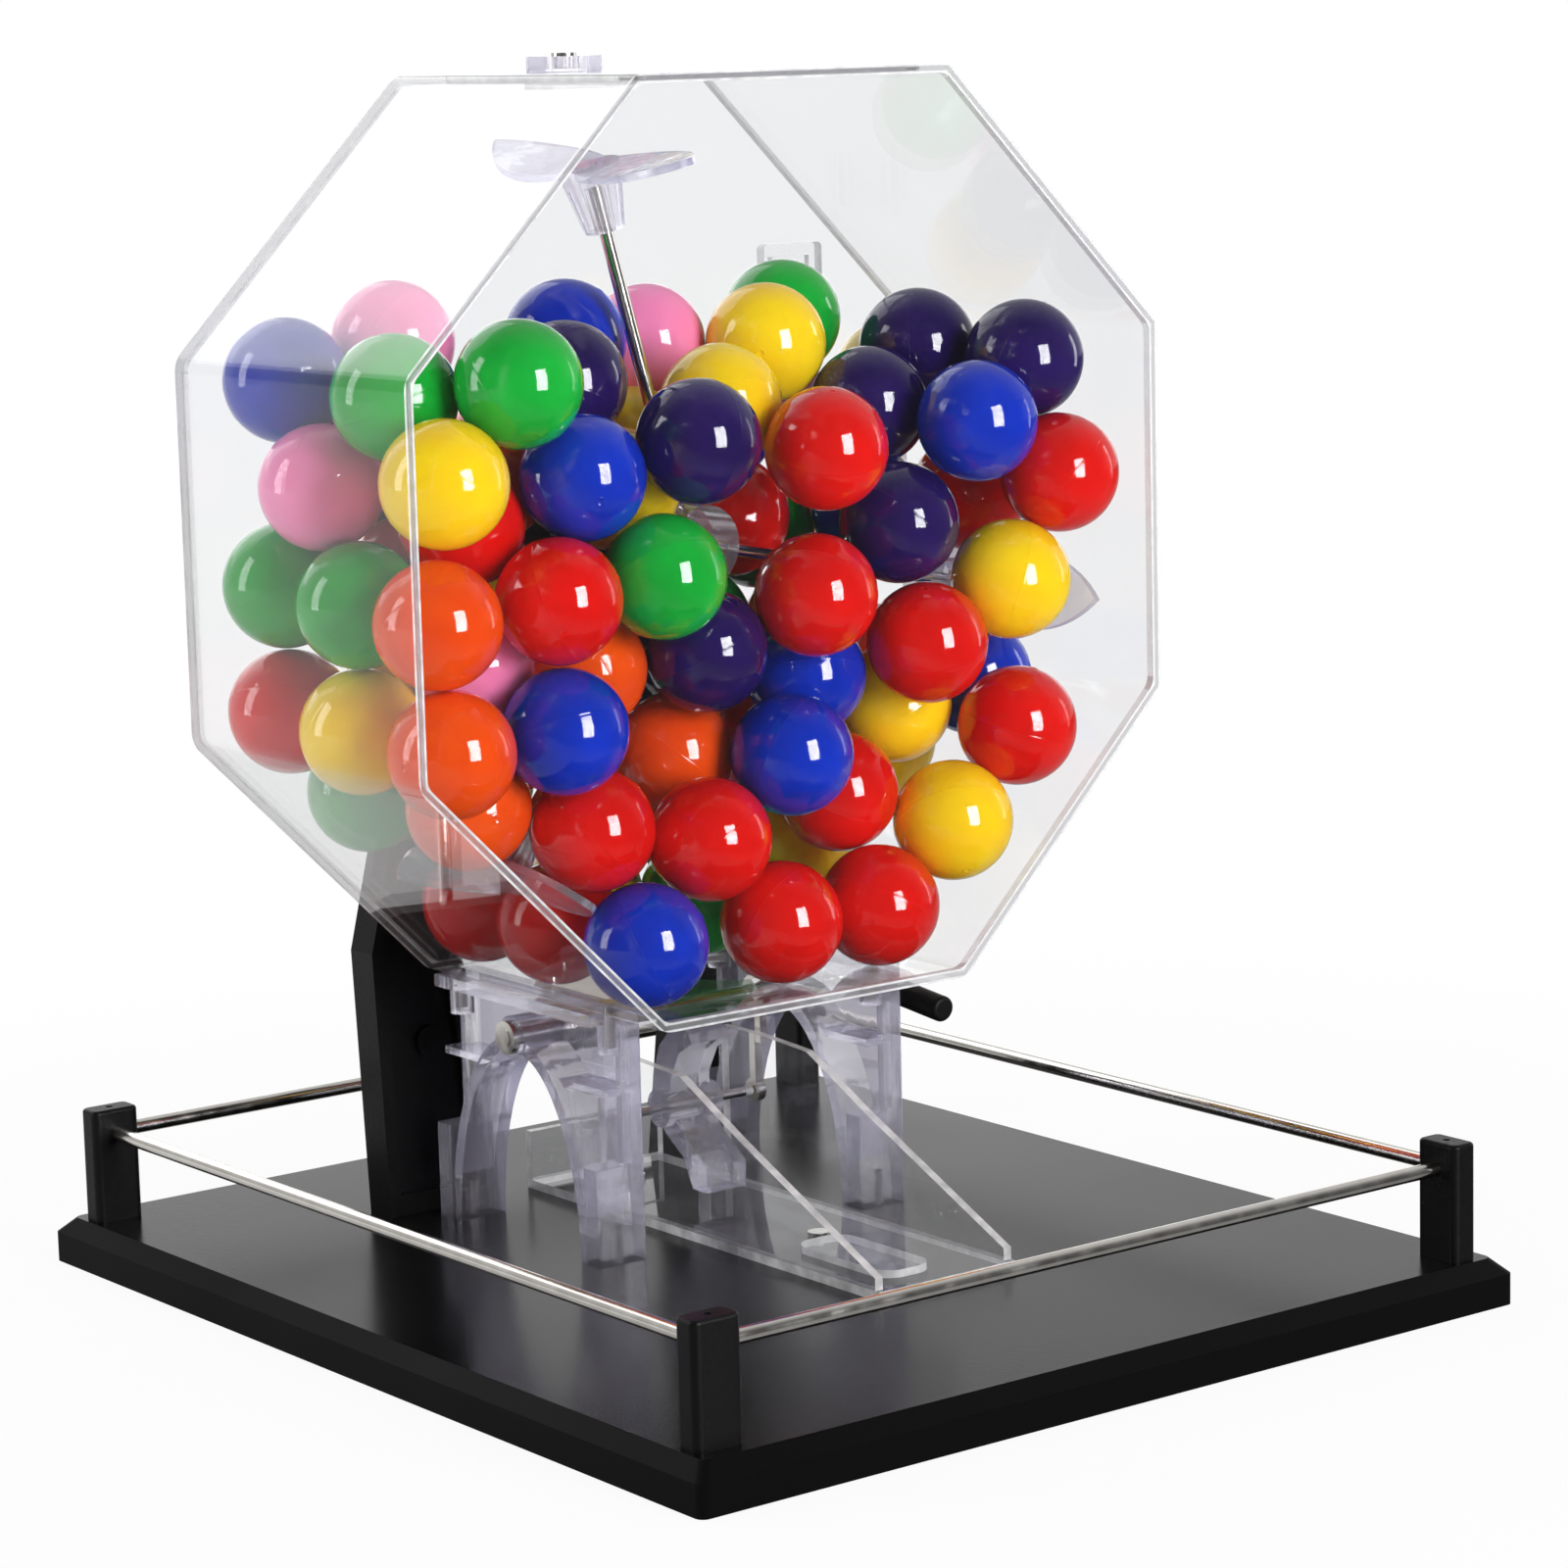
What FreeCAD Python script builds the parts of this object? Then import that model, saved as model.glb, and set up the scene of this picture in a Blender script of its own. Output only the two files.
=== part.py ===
"""Raffle drum: clear octagonal tank of balls on a board, with stirrer, crank, chute and release lever.

Millimetres. Origin at the middle of the board's underside, X to the right, -Y to the front, Z up.
"""
import math
import os

import FreeCAD
import Part

V = FreeCAD.Vector
X_AXIS, Y_AXIS, Z_AXIS = V(1, 0, 0), V(0, 1, 0), V(0, 0, 1)

# ---- driving dimensions --------------------------------------------------------------------
RUN = 0.05                      # radial running clearance of a shaft in its hole
LOOSE = 0.5                     # clearance round the lid
BALL_D = 40.0

BOARD_W, BOARD_D, BOARD_T = 320.0, 366.0, 15.0
BOARD_CHAMFER, BOARD_CORNER_R = 5.0, 3.0

POST_INSET = 15.0               # from the board's sides to the post centres
POST_X, POST_Y = BOARD_W / 2 - POST_INSET, BOARD_D / 2 - POST_INSET
POST_L, POST_W, POST_H = 17.0, 9.6, 38.0
POST_EDGE = 1.2
RAIL_R, RAIL_RISE = 2.4, 29.5   # rails, above the board's top
RAIL_Z = BOARD_T + RAIL_RISE
RAIL_SEAM_DEPTH, RAIL_HOLE_DEPTH = 5.0, 4.2

ACRYLIC_T = 3.0
TANK_A = 147.0                  # half the width across the flats, outside
TANK_BEND_R = 9.0
TANK_Z = 244.5
TANK_FRONT, TANK_BACK = -34.0, 98.0

LID_HALF_X, LID_Y0, LID_Y1 = 52.0, -26.0, 84.0
LID_PIN_R, LID_PIN_INSET, LID_PIN_L = 0.8, 4.0, 12.0
KNOB_X, KNOB_Y = -24.0, 56.0
BRACKET_X, BRACKET_Z = 98.5, 316.0
BRACKET_W, BRACKET_H, BRACKET_T, BRACKET_WALL = 25.0, 28.0, 4.0, 4.5

FRAME_X0, FRAME_W = 44.0, 18.5  # inner face and thickness of each arched support
FRAME_Y0, FRAME_Y1 = 2.0, 95.0
FRAME_WEB, FRAME_PAD = 3.0, 4.0
FOOT_D, FOOT_H = 8.5, 32.0      # each support's feet, which take the screws from below
COLUMN_W, COLUMN_D = 8.0, 4.0   # the ribs up its front and back edges
SHELF_RISE, SHELF_T = 55.0, 2.5   # level rib beside the arch's crown, above the board
SCREW_BOSS_R, SCREW_BOSS_H = 4.0, 14.0
ARCH_HALF_Y, ARCH_H, ARCH_RIB = 34.5, 63.6, 4.5
FRAME_BOSS_R = 7.0

LEVER_Y, LEVER_Z = 48.2, 83.5   # axis of the release lever
LEVER_R, LEVER_X = 3.0, 79.0
LEVER_DROOP = 6.0               # degrees the grip hangs below level
LEVER_REACH, LEVER_BEND = 48.6, 9.0
GRIP_L, GRIP_R = 42.0, 4.4
SPRING_R, SPRING_WIRE_R, SPRING_PITCH, SPRING_TURNS = 5.2, 0.6, 1.6, 5
COLLAR_R, COLLAR_W = 5.5, 2.5
FINGER_L, FINGER_T, FINGER_OVERLAP = 17.0, 3.0, 3.5   # the lever's finger laps over the gate's crank

CHUTE_X0, CHUTE_X1 = -20.0, 35.0
CHUTE_Y0, CHUTE_Y1 = -85.0, 105.0
CHUTE_SIDE_BACK = 62.0
EXIT_X, EXIT_Y, EXIT_D = 7.5, 22.0, 44.0
GATE_Y, GATE_Z, GATE_ROD_R = 50.0, 49.5, 1.5
GATE_W, GATE_HUB_R = 16.0, 6.5

STAND_Y0, STAND_Y1 = 102.0, 115.0
STAND_Z = 226.0                 # joint between the legs and the head
HEAD_HALF_X, HEAD_H, HEAD_Y1 = 47.0, 46.0, 118.0

AXLE_Z, AXLE_R = 240.0, 4.0
ARM_Y = 30.0
ARM_ANGLES = (105.5, 231.5, 348.5)
ARM_R, ARM_INNER = 2.25, 5.0
BOSS_R, BOSS_L = 13.0, 22.0
BLADE_T, BLADE_HALF_W = 2.4, 13.0
BLADE_FRONT, BLADE_BACK = -26.0, 79.0
BLADE_GAP = 11.0                # from the tank's inner face to the inner side of the blades' tips
BLADE_RISE_BACK, BLADE_RISE_FRONT = 8.0, 3.0   # how far the blades bend outwards to their tips
BLADES = ((BLADE_FRONT, BLADE_RISE_FRONT), (BLADE_BACK, BLADE_RISE_BACK))
BLADE_TIP_R = TANK_A - ACRYLIC_T - BLADE_GAP
# Along a blade from the cup to its tip: share of its length, of its half width and of its rise.
BLADE_STATIONS = ((0.0, 0.54, 0.0), (0.5, 1.0, 0.17), (0.76, 0.74, 0.5), (1.0, 0.0, 1.0))
CUP_L, CUP_WIDE_R, CUP_NARROW_R = 19.0, 10.0, 6.5
CUP_R1 = BLADE_TIP_R - BLADE_RISE_BACK
CUP_R0 = CUP_R1 - CUP_L         # the ribbed cup runs between these two radii
ARM_OUTER = CUP_R1 - 4.0
BUSH_R, BUSH_FLANGE_R, BUSH_FLANGE_T = 6.5, 9.0, 2.0

CRANK_R, CRANK_Y0, CRANK_T, CRANK_W = 75.0, 122.0, 6.0, 16.0
CRANK_PIN_R, CRANK_GRIP_R, CRANK_GRIP_L = 3.0, 9.0, 40.0

SCREW_R, SCREW_HEAD_R, SCREW_HEAD_T, SCREW_BITE = 1.6, 3.2, 2.0, 12.0


# ---- small helpers -------------------------------------------------------------------------
def box(x0, x1, y0, y1, z0, z1):
    return Part.makeBox(x1 - x0, y1 - y0, z1 - z0, V(x0, y0, z0))


def rod(radius, start, end):
    """Cylinder from one point to another."""
    step = V(*end) - V(*start)
    return Part.makeCylinder(radius, step.Length, V(*start), step)


def cone(radius0, radius1, start, end):
    step = V(*end) - V(*start)
    return Part.makeCone(radius0, radius1, step.Length, V(*start), step)


def face_of(points):
    return Part.Face(Part.makePolygon([V(*p) for p in points] + [V(*points[0])]))


def plate_yz(x0, x1, outline):
    """Plate with an outline of (Y, Z) points, between two X positions."""
    return face_of([(x0, y, z) for y, z in outline]).extrude(V(x1 - x0, 0, 0))


def plate_xz(y0, y1, outline):
    """Plate with an outline of (X, Z) points, between two Y positions."""
    return face_of([(x, y0, z) for x, z in outline]).extrude(V(0, y1 - y0, 0))


def edges_along(shape, axis):
    """Straight edges of a shape that run along an axis."""
    found = []
    for edge in shape.Edges:
        if not isinstance(edge.Curve, Part.Line):
            continue
        if abs(abs(edge.Curve.Direction.dot(axis)) - 1) < 1e-6:
            found.append(edge)
    return found


def rounded(shape, radius, axis):
    return shape.makeFillet(radius, edges_along(shape, axis))


def mirrored_x(shape):
    return shape.mirror(V(0, 0, 0), X_AXIS)


def turned(shape, degrees):
    """Shape turned about the stirrer's axle, from +X towards +Z."""
    copy = shape.copy()
    copy.rotate(V(0, 0, AXLE_Z), Y_AXIS, -degrees)
    return copy


def polar(radius, degrees, y):
    a = math.radians(degrees)
    return (radius * math.cos(a), y, AXLE_Z + radius * math.sin(a))


def octagon(half, y0, y1, bend):
    """Octagonal prism along Y about the tank's middle, with rounded long edges."""
    p = half * math.tan(math.pi / 8)
    corners = [(half, -p), (half, p), (p, half), (-p, half), (-half, p), (-half, -p), (-p, -half), (p, -half)]
    return rounded(plate_xz(y0, y1, [(x, TANK_Z + z) for x, z in corners]), bend, Y_AXIS)


parts = {}


# ---- base board, corner posts, rails -------------------------------------------------------
def post_frame(name):
    """Centre and long axis of a corner post: the right posts are turned a quarter."""
    side = -1 if name[1] == "l" else 1
    depth = -1 if name[0] == "f" else 1
    return side * POST_X, depth * POST_Y, "x" if name[1] == "l" else "y"


POST_NAMES = ("fl", "fr", "bl", "br")


def board_outline(inset, z):
    """Rounded rectangle of the board's plan, as a wire."""
    half_x, half_y = BOARD_W / 2 - inset, BOARD_D / 2 - inset
    slab = rounded(box(-half_x, half_x, -half_y, half_y, z - 1, z + 1), BOARD_CORNER_R, Z_AXIS)
    return slab.slice(Z_AXIS, z)[0]


chamfer_z = BOARD_T - BOARD_CHAMFER
board = Part.Face(board_outline(0, 0)).extrude(V(0, 0, chamfer_z))
board = board.fuse(
    Part.makeLoft([board_outline(0, chamfer_z), board_outline(BOARD_CHAMFER, BOARD_T)], True, True)
)

rails = {}
across = []
for y in (-POST_Y, POST_Y):
    left_end = -(POST_X - POST_L / 2) - RAIL_SEAM_DEPTH
    right_end = POST_X - POST_W / 2 + RAIL_HOLE_DEPTH
    across.append(rod(RAIL_R, (left_end, y, RAIL_Z), (right_end, y, RAIL_Z)))
rails["rails_across"] = Part.makeCompound(across)
rail_reach = POST_Y - POST_W / 2 + RAIL_HOLE_DEPTH
rails["rail_left"] = rod(RAIL_R, (-POST_X, -rail_reach, RAIL_Z), (-POST_X, rail_reach, RAIL_Z))
rail_reach = POST_Y - POST_L / 2 + RAIL_SEAM_DEPTH
rails["rail_right"] = rod(RAIL_R, (POST_X, -rail_reach, RAIL_Z), (POST_X, rail_reach, RAIL_Z))
parts.update(rails)


def screw_up(x, y):
    """Screw from under the board into the piece that stands on it."""
    head = rod(SCREW_HEAD_R, (x, y, 1.0), (x, y, 1.0 + SCREW_HEAD_T))
    return head.fuse(rod(SCREW_R, (x, y, 1.0), (x, y, BOARD_T + SCREW_BITE)))


def sunk_screw(start, way):
    """Flat-headed screw through the acrylic, from its head's face along a direction."""
    a, d = V(*start), V(*way)
    sunk = cone(SCREW_HEAD_R, SCREW_R, a, a + d * 2)
    return sunk.fuse(rod(SCREW_R, a + d * 1.8, a + d * (ACRYLIC_T + SCREW_BITE)))


board_screws = []
for name in POST_NAMES:
    px, py, along = post_frame(name)
    half_x = (POST_L if along == "x" else POST_W) / 2
    half_y = (POST_W if along == "x" else POST_L) / 2
    whole = box(px - half_x, px + half_x, py - half_y, py + half_y, BOARD_T, BOARD_T + POST_H)
    whole = rounded(whole, 2.5, Z_AXIS)
    whole = whole.makeFillet(POST_EDGE, [e for e in whole.Edges if e.BoundBox.ZMin > BOARD_T + POST_H - 0.01])
    board_screws.append(screw_up(px, py))
    pip = rod(1.2, (px, py, BOARD_T + POST_H - 1.0), (px, py, BOARD_T + POST_H + 1))
    whole = whole.cut(pip).cut(board_screws[-1])
    for bar in rails.values():
        whole = whole.cut(bar)
    if along == "x":
        cuts = (box(px - 20, px + 20, py - 20, py, 0, 90), box(px - 20, px + 20, py, py + 20, 0, 90))
    else:
        cuts = (box(px - 20, px, py - 20, py + 20, 0, 90), box(px, px + 20, py - 20, py + 20, 0, 90))
    parts["post_" + name + "_a"] = whole.common(cuts[0])
    parts["post_" + name + "_b"] = whole.common(cuts[1])


# ---- tank ----------------------------------------------------------------------------------
inner_a = TANK_A - ACRYLIC_T
inner_bend = TANK_BEND_R - ACRYLIC_T
band = octagon(TANK_A, TANK_FRONT, TANK_BACK, TANK_BEND_R)
band = band.cut(octagon(inner_a, TANK_FRONT - 1, TANK_BACK + 1, inner_bend))
front_panel = octagon(inner_a, TANK_FRONT, TANK_FRONT + ACRYLIC_T, inner_bend)
back_panel = octagon(inner_a, TANK_BACK - ACRYLIC_T, TANK_BACK, inner_bend)
tank_top = TANK_Z + TANK_A
tank_bottom = TANK_Z - TANK_A

lid_hole = rounded(box(-LID_HALF_X, LID_HALF_X, LID_Y0, LID_Y1, tank_top - 9, tank_top + 9), 2, Z_AXIS)
exit_hole = rod(EXIT_D / 2, (EXIT_X, EXIT_Y, tank_bottom - 1), (EXIT_X, EXIT_Y, tank_bottom + 9))
band = band.cut(lid_hole).cut(exit_hole)

lid_x = LID_HALF_X - LOOSE
lid = box(-lid_x, lid_x, LID_Y0 + LOOSE, LID_Y1 - LOOSE, tank_top - ACRYLIC_T, tank_top)
lid = rounded(lid, 1.5, Z_AXIS)
pin_y = LID_Y0 + LID_PIN_INSET
pin_z = tank_top - ACRYLIC_T / 2
lid = lid.makeFillet(
    0.9, [e for e in lid.Edges if e.BoundBox.YMax < LID_Y0 + LOOSE + 0.01 and e.BoundBox.ZLength < 0.01]
)
pins = []
for side in (-1, 1):
    inner_x = side * (LID_HALF_X - LID_PIN_L / 2)
    outer_x = side * (LID_HALF_X + LID_PIN_L / 2)
    pins.append(rod(LID_PIN_R, (inner_x, pin_y, pin_z), (outer_x, pin_y, pin_z)))
    lid = lid.cut(rod(LID_PIN_R + RUN, (inner_x, pin_y, pin_z), (outer_x, pin_y, pin_z)))
    band = band.cut(pins[-1])
parts["lid_pins"] = Part.makeCompound(pins)

knob = rounded(box(KNOB_X - 10, KNOB_X + 10, KNOB_Y - 9, KNOB_Y + 9, tank_top, tank_top + 5), 3, Z_AXIS)
insert = rod(3.25, (KNOB_X, KNOB_Y, tank_top + 1), (KNOB_X, KNOB_Y, tank_top + 5))
insert = insert.fuse(rod(4.2, (KNOB_X, KNOB_Y, tank_top + 5), (KNOB_X, KNOB_Y, tank_top + 6)))
parts["lid_knob"] = knob.cut(insert)
parts["lid_insert"] = insert
parts["lid"] = lid
parts["lid_rest"] = rounded(
    box(-14, 14, LID_Y1 - 7, TANK_BACK - ACRYLIC_T, tank_top - 2 * ACRYLIC_T, tank_top - ACRYLIC_T), 2, Z_AXIS
)


def bracket_block(inset, y0, y1):
    half_x, half_z = BRACKET_W / 2 - inset, BRACKET_H / 2 - inset
    return box(BRACKET_X - half_x, BRACKET_X + half_x, y0, y1, BRACKET_Z - half_z, BRACKET_Z + half_z)


bracket = rounded(bracket_block(0, TANK_BACK, TANK_BACK + BRACKET_T), 2, Y_AXIS)
parts["back_bracket"] = bracket.cut(bracket_block(BRACKET_WALL, TANK_BACK + 1.5, TANK_BACK + BRACKET_T + 1))


# ---- arched supports -----------------------------------------------------------------------
def ellipse_face(x, half_y, half_z):
    """Face of an ellipse in a YZ plane, standing on the board."""
    major = max(half_y, half_z)
    minor = min(half_y, half_z)
    curve = Part.Ellipse(V(0, 0, 0), major, minor)
    curve = curve.toShape()
    face = Part.Face(Part.Wire(curve))
    face.rotate(V(0, 0, 0), Y_AXIS, -90)
    if half_y > half_z:
        face.rotate(V(0, 0, 0), X_AXIS, 90)
    face.translate(V(x, (FRAME_Y0 + FRAME_Y1) / 2, BOARD_T))
    return face


def arched_support():
    """Right-hand support: a web, and feet, ribs, an arch and a top pad that stand off its left side."""
    x0, x1 = FRAME_X0, FRAME_X0 + FRAME_W
    body = box(x1 - FRAME_WEB, x1, FRAME_Y0 + 1.5, FRAME_Y1 - 1.5, BOARD_T, tank_bottom)
    for y0, y1 in ((FRAME_Y0, FRAME_Y0 + FOOT_D), (FRAME_Y1 - FOOT_D, FRAME_Y1)):
        body = body.fuse(rounded(box(x0, x1, y0, y1, BOARD_T, BOARD_T + FOOT_H), 1.2, Z_AXIS))
    for y0, y1 in ((FRAME_Y0, FRAME_Y0 + COLUMN_D), (FRAME_Y1 - COLUMN_D, FRAME_Y1)):
        body = body.fuse(rounded(box(x1 - COLUMN_W, x1, y0, y1, BOARD_T, tank_bottom), 1.2, Z_AXIS))
    shelf_z = BOARD_T + SHELF_RISE
    body = body.fuse(box(x0 + 4, x1 - 1, FRAME_Y0 + 1, FRAME_Y1 - 1, shelf_z, shelf_z + SHELF_T))
    rib = ellipse_face(x0 + 1, ARCH_HALF_Y + ARCH_RIB, ARCH_H + ARCH_RIB).extrude(V(FRAME_W - 1.5, 0, 0))
    body = body.fuse(rib.common(box(x0, x1, FRAME_Y0, FRAME_Y1, BOARD_T, tank_bottom)))
    body = body.fuse(box(x0, x1, FRAME_Y0 + 2, FRAME_Y1 - 2, tank_bottom - FRAME_PAD, tank_bottom))
    for y in column_y:
        boss_z = tank_bottom - SCREW_BOSS_H
        body = body.fuse(rod(SCREW_BOSS_R, (frame_x, y, boss_z), (frame_x, y, tank_bottom)))
    body = body.fuse(rod(FRAME_BOSS_R, (x0, LEVER_Y, LEVER_Z), (x1, LEVER_Y, LEVER_Z)))
    body = body.cut(ellipse_face(x0 - 1, ARCH_HALF_Y, ARCH_H).extrude(V(FRAME_W + 2, 0, 0)))
    body = body.cut(rod(LEVER_R + RUN, (x0 - 1, LEVER_Y, LEVER_Z), (x1 + 1, LEVER_Y, LEVER_Z)))
    return body.removeSplitter()


frame_x = FRAME_X0 + FRAME_W / 2
column_y = (FRAME_Y0 + FOOT_D / 2, FRAME_Y1 - FOOT_D / 2)
support = arched_support()
left_support = support.translated(V(-2 * FRAME_X0 - FRAME_W, 0, 0))
tank_screws = []
for x in (-frame_x, frame_x):
    for y in column_y:
        board_screws.append(screw_up(x, y))
        tank_screws.append(sunk_screw((x, y, tank_bottom + ACRYLIC_T), (0, 0, -1)))
for name, piece in (("support_right", support), ("support_left", left_support)):
    for screw in board_screws + tank_screws:
        piece = piece.cut(screw)
    parts[name] = piece
for screw in tank_screws:
    band = band.cut(screw)
parts["tank_band"] = band
parts["tank_front"] = front_panel


# ---- rear stand ----------------------------------------------------------------------------
LEG_OUTLINE = [(-77, BOARD_T), (-80.7, 105), (-50.5, STAND_Z), (-14.5, STAND_Z), (-46.9, 96), (-38, BOARD_T)]
LEG_POCKET = [(-73, 22), (-76, 104), (-49.5, 212), (-20.5, 212), (-51, 98), (-43, 22)]
leg = plate_xz(STAND_Y0, STAND_Y1, LEG_OUTLINE)
leg = leg.cut(plate_xz(STAND_Y0 - 1, STAND_Y0 + 2.5, LEG_POCKET))
leg = leg.fuse(rod(5, (-58.9, STAND_Y0 + 0.5, 72.8), (-58.9, STAND_Y0 + 3, 72.8))).removeSplitter()
head = box(-HEAD_HALF_X, HEAD_HALF_X, TANK_BACK, HEAD_Y1, STAND_Z, STAND_Z + HEAD_H)
head = head.makeFillet(14, [e for e in edges_along(head, Y_AXIS) if e.BoundBox.ZMin > STAND_Z + 1])
stand_mid_y = (STAND_Y0 + STAND_Y1) / 2

leg_screws = [screw_up(x, stand_mid_y) for x in (-58.0, 58.0)]
board_screws += leg_screws
stand_pins = [rod(2.0, (x, stand_mid_y, STAND_Z - 12), (x, stand_mid_y, STAND_Z + 12)) for x in (-32.0, 32.0)]
head_screws = [sunk_screw((x, TANK_BACK - ACRYLIC_T, AXLE_Z + 20), (0, 1, 0)) for x in (-34.0, 34.0)]
tank_screws += head_screws

panel_y = TANK_BACK - ACRYLIC_T
bush_y0, bush_y1 = panel_y - BUSH_FLANGE_T, HEAD_Y1 + BUSH_FLANGE_T
bush = rod(BUSH_R, (0, panel_y, AXLE_Z), (0, HEAD_Y1, AXLE_Z))
bush = bush.fuse(rod(BUSH_FLANGE_R, (0, bush_y0, AXLE_Z), (0, panel_y, AXLE_Z)))
bush = bush.fuse(rod(BUSH_FLANGE_R, (0, HEAD_Y1, AXLE_Z), (0, bush_y1, AXLE_Z)))
head = head.cut(bush)
back_panel = back_panel.cut(bush)
parts["axle_bush"] = bush.cut(rod(AXLE_R + RUN, (0, bush_y0 - 1, AXLE_Z), (0, bush_y1 + 1, AXLE_Z)))
for screw in head_screws:
    head = head.cut(screw)
    back_panel = back_panel.cut(screw)
right_leg = mirrored_x(leg)
for screw in leg_screws + stand_pins:
    head = head.cut(screw)
    leg = leg.cut(screw)
    right_leg = right_leg.cut(screw)
parts["tank_back"] = back_panel
parts["stand_head"] = head
parts["stand_leg_left"] = leg
parts["stand_leg_right"] = right_leg
parts["stand_pins"] = Part.makeCompound(stand_pins)
parts["tank_screws"] = Part.makeCompound(tank_screws)
parts["board_screws"] = Part.makeCompound(board_screws)


# ---- stirrer and crank ---------------------------------------------------------------------
crank_y1 = CRANK_Y0 + CRANK_T
axle = rod(AXLE_R, (0, ARM_Y - BOSS_L / 2, AXLE_Z), (0, crank_y1 + 8, AXLE_Z))
boss = rod(BOSS_R, (0, ARM_Y - BOSS_L / 2, AXLE_Z), (0, ARM_Y + BOSS_L / 2, AXLE_Z)).cut(axle)


def paddle():
    """Ribbed cup on an arm along +X, with a pair of leaf-shaped blades across its wide end."""
    cup = cone(CUP_NARROW_R, CUP_WIDE_R, (CUP_R0, ARM_Y, AXLE_Z), (CUP_R1, ARM_Y, AXLE_Z))
    for n in range(8):
        a = math.pi / 4 * n
        narrow, wide = CUP_NARROW_R + 0.7, CUP_WIDE_R + 0.4
        groove = cone(
            1.2,
            1.8,
            (CUP_R0 - 1, ARM_Y + narrow * math.cos(a), AXLE_Z + narrow * math.sin(a)),
            (CUP_R1 - 4, ARM_Y + wide * math.cos(a), AXLE_Z + wide * math.sin(a)),
        )
        cup = cup.cut(groove)
    body = cup.fuse(rod(CUP_WIDE_R, (CUP_R1, ARM_Y, AXLE_Z), (CUP_R1 + BLADE_T, ARM_Y, AXLE_Z)))
    for end, top in BLADES:
        body = body.fuse(leaf(end, top))
    return body.removeSplitter()


def curve(points):
    line = Part.BSplineCurve()
    line.interpolate(points)
    return line.toShape()


def leaf(end, top):
    """Blade from the cup's rim to its tip at Y = end, top beyond the rim: a leaf cut from a curved strip."""
    left, right, near = [], [], []
    edge_z = AXLE_Z - BLADE_HALF_W - 1
    for along, width, rise in BLADE_STATIONS:
        y = ARM_Y + along * (end - ARM_Y)
        left.append(V(CUP_R1 - 1, y, AXLE_Z - width * BLADE_HALF_W))
        right.append(V(CUP_R1 - 1, y, AXLE_Z + width * BLADE_HALF_W))
        near.append(V(CUP_R1 + rise * top, y, edge_z))
    outline = Part.Wire([curve(left), curve(right[::-1]), Part.makeLine(right[0], left[0])])
    plan = Part.Face(outline).extrude(V(top + BLADE_T + 3, 0, 0))
    far = [p + V(BLADE_T, 0, 0) for p in near]
    edges = [curve(near), Part.makeLine(near[-1], far[-1]), curve(far), Part.makeLine(far[0], near[0])]
    strip = Part.Face(Part.Wire(Part.__sortEdges__(edges))).extrude(V(0, 0, 2 * BLADE_HALF_W + 2))
    return strip.common(plan)


arm = rod(ARM_R, (ARM_INNER, ARM_Y, AXLE_Z), (ARM_OUTER, ARM_Y, AXLE_Z))
arm = arm.cut(axle)
paddle_blank = paddle().cut(arm)
arms = [turned(arm, angle) for angle in ARM_ANGLES]
parts["stirrer_arms"] = Part.makeCompound(arms)
parts["paddles"] = Part.makeCompound([turned(paddle_blank, angle) for angle in ARM_ANGLES])
for piece in arms:
    boss = boss.cut(piece)
parts["stirrer_boss"] = boss

crank_arm = box(-CRANK_W / 2, CRANK_W / 2, CRANK_Y0, crank_y1, AXLE_Z - CRANK_R, AXLE_Z)
crank_low = AXLE_Z - CRANK_R
for z in (AXLE_Z, crank_low):
    crank_arm = crank_arm.fuse(rod(CRANK_W / 2, (0, CRANK_Y0, z), (0, crank_y1, z)))
crank_arm = crank_arm.removeSplitter()
pin_end = crank_y1 + 1 + CRANK_GRIP_L
crank_pin = rod(CRANK_PIN_R, (0, CRANK_Y0 + 1, crank_low), (0, pin_end + 0.5, crank_low))
crank_pin = crank_pin.fuse(rod(5.5, (0, pin_end + 0.5, crank_low), (0, pin_end + 3, crank_low)))
grip = cone(CRANK_GRIP_R - 2, CRANK_GRIP_R, (0, crank_y1 + 0.5, crank_low), (0, pin_end, crank_low))
crank_nut = rod(7.0, (0, crank_y1, AXLE_Z), (0, crank_y1 + 6, AXLE_Z)).cut(axle)
parts["stirrer_axle"] = axle
parts["crank_arm"] = crank_arm.cut(axle).cut(crank_pin)
parts["crank_pin"] = crank_pin
parts["crank_grip"] = grip.cut(rod(CRANK_PIN_R + RUN, (0, crank_y1, crank_low), (0, pin_end + 1, crank_low)))
parts["crank_nut"] = crank_nut


# ---- release lever -------------------------------------------------------------------------
droop = math.radians(LEVER_DROOP)
grip_way = V(0, -math.cos(droop), -math.sin(droop))
elbow = V(LEVER_X, LEVER_Y, LEVER_Z)
tip = elbow + grip_way * LEVER_REACH
bend_in = elbow - X_AXIS * LEVER_BEND
bend_out = elbow + grip_way * LEVER_BEND
bend_centre = bend_in + grip_way * LEVER_BEND
bend_mid = bend_centre + (X_AXIS - grip_way) * (LEVER_BEND / math.sqrt(2))
lever_start = V(-FRAME_X0 - FRAME_W - 3, LEVER_Y, LEVER_Z)
path = Part.Wire(
    [
        Part.makeLine(lever_start, bend_in),
        Part.Arc(bend_in, bend_mid, bend_out).toShape(),
        Part.makeLine(bend_out, tip - grip_way * 4),
    ]
)
section = Part.Wire(Part.Circle(lever_start, X_AXIS, LEVER_R).toShape())
lever_rod = path.makePipeShell([section], True, False)
grip_start = tip - grip_way * GRIP_L
sleeve = Part.makeCylinder(GRIP_R, GRIP_L, grip_start, grip_way)
sleeve = sleeve.makeFillet(1.4, [e for e in sleeve.Edges if isinstance(e.Curve, Part.Circle)])
parts["lever_rod"] = lever_rod
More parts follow.
